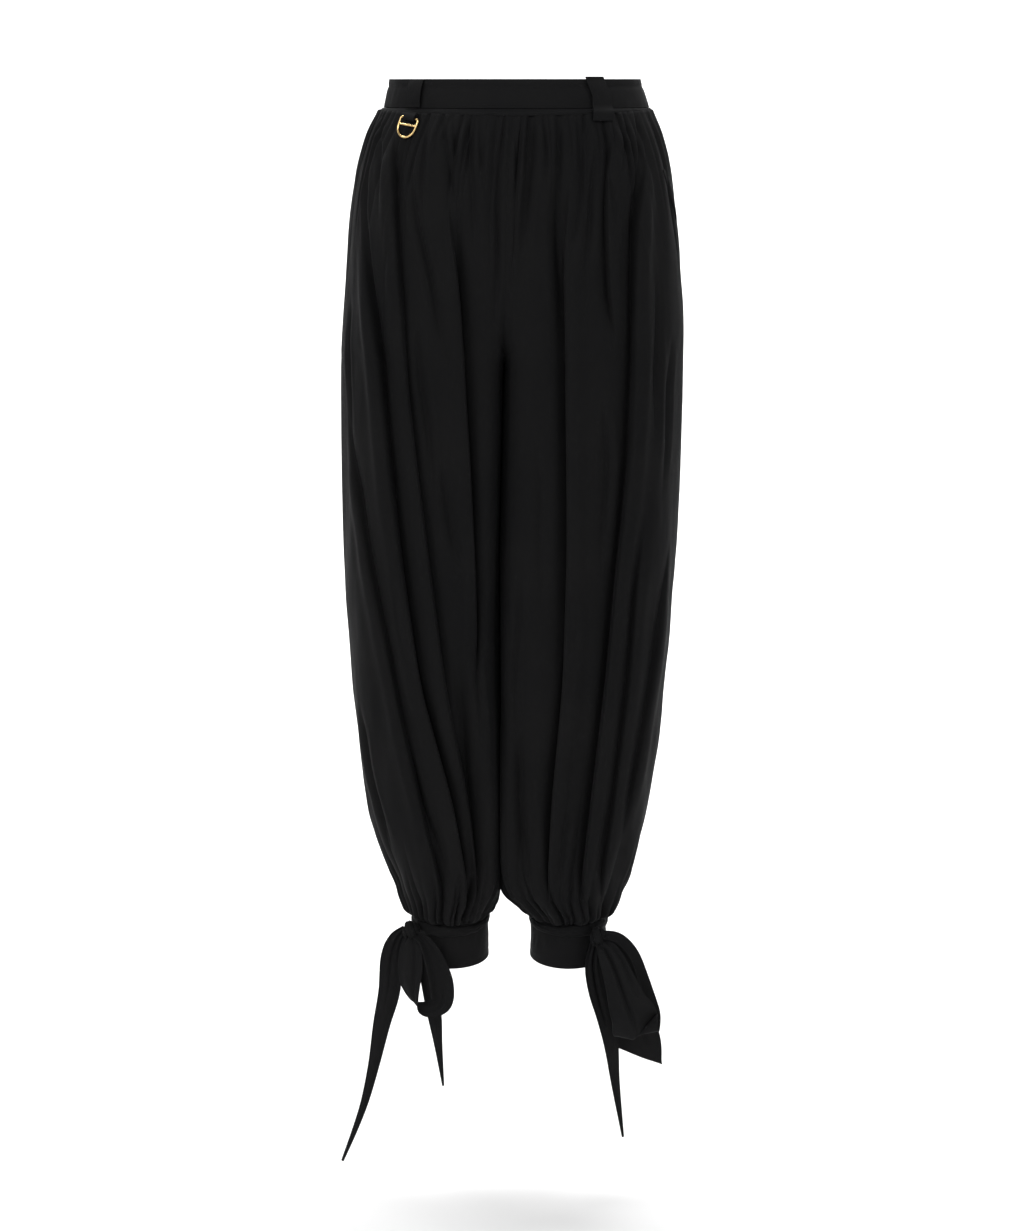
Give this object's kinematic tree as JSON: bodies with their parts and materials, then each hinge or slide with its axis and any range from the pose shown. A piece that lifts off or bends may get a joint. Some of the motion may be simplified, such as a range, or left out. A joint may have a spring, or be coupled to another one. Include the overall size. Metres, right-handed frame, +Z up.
{
  "type": "gathered trousers",
  "caption": "Wide gathered trousers with a plain waistband, belt loops, a D-ring on a tab, and narrow cuffs tied in bows.",
  "frame": {"origin": "centre of the waist opening, level with the top edge of the waistband", "axes": "+Z up out of the waist, -Y towards the garment's front, +X towards the wearer's left"},
  "size_m": [0.3724, 0.2514, 1.192],
  "materials": {
    "cloth": "black woven cloth, matt, with a faint soft sheen on the ridges of the gathers",
    "ring": "polished gold-coloured wire"
  },
  "bodies": {
    "trousers": {"waistband_front": "cloth", "waistband_back": "cloth", "welt_front": "cloth", "welt_back": "cloth", "leg_right_front": "cloth", "leg_right_back": "cloth", "leg_left_front": "cloth", "leg_left_back": "cloth", "pocket_left": "cloth", "belt_loop_front_right": "cloth", "belt_loop_front_left": "cloth", "belt_loop_back_right": "cloth", "belt_loop_back_left": "cloth", "ring_tab": "cloth", "cuff_right": "cloth", "cuff_left": "cloth", "tie_wrap_right": "cloth", "tie_wrap_left": "cloth", "knot_right": "cloth", "knot_left": "cloth", "bow_loop_right": "cloth", "bow_loop_left": "cloth", "tail_right_long": "cloth", "tail_right_short": "cloth", "tail_left_long": "cloth", "tail_left_short": "cloth"},
    "ring": {"d_ring": "ring"}
  },
  "joints": [
    {"name": "ring_swing", "type": "hinge", "parent": "trousers", "child": "ring", "pos_m": [-0.10401, -0.07679, -0.0365], "axis": [-0.7613, 0.63, 0.1534], "range_deg": [0, 110]}
  ]
}
